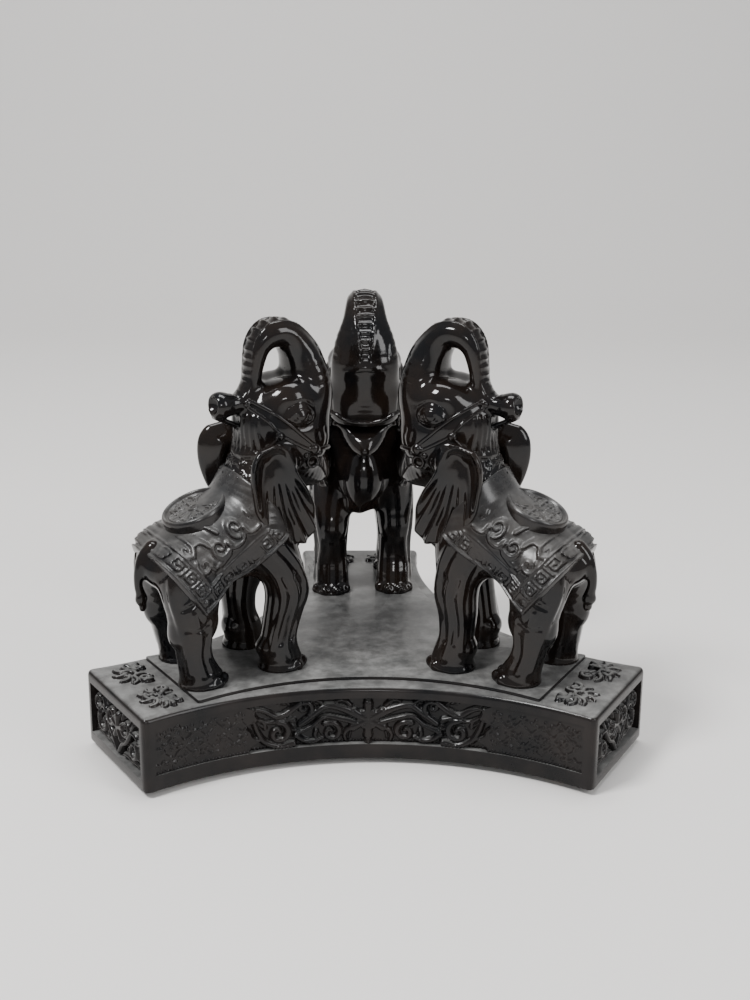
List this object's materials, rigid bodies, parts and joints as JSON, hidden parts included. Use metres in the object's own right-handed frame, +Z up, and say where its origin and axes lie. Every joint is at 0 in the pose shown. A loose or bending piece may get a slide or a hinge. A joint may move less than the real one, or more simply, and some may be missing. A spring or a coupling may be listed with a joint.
{
  "type": "elephant sphere stand",
  "caption": "Glossy black display stand: elephants on a three-armed carved plinth, heads to the middle, trunks curled up, cradle a ball between their brows.",
  "frame": {"origin": "on the plinth's threefold axis, at the level of the rubber bumpers' lower faces, which is the surface the stand rests on", "axes": "+Z up; +Y from the axis along the arm that carries the back elephant; +X to the right as seen from the open front side"},
  "size_m": [0.1474, 0.1281, 0.1146],
  "materials": {
    "plinth_resin": "polished cast resin, dusty on top",
    "elephant_resin": "polished cast resin, very glossy",
    "bumper_rubber": "translucent, slightly tacky"
  },
  "bodies": {
    "root": {"base": "plinth_resin", "elephant_back": "elephant_resin", "elephant_left": "elephant_resin", "elephant_right": "elephant_resin", "bumper_back_a": "bumper_rubber", "bumper_back_b": "bumper_rubber", "bumper_left_a": "bumper_rubber", "bumper_left_b": "bumper_rubber", "bumper_right_a": "bumper_rubber", "bumper_right_b": "bumper_rubber"}
  },
  "joints": []
}
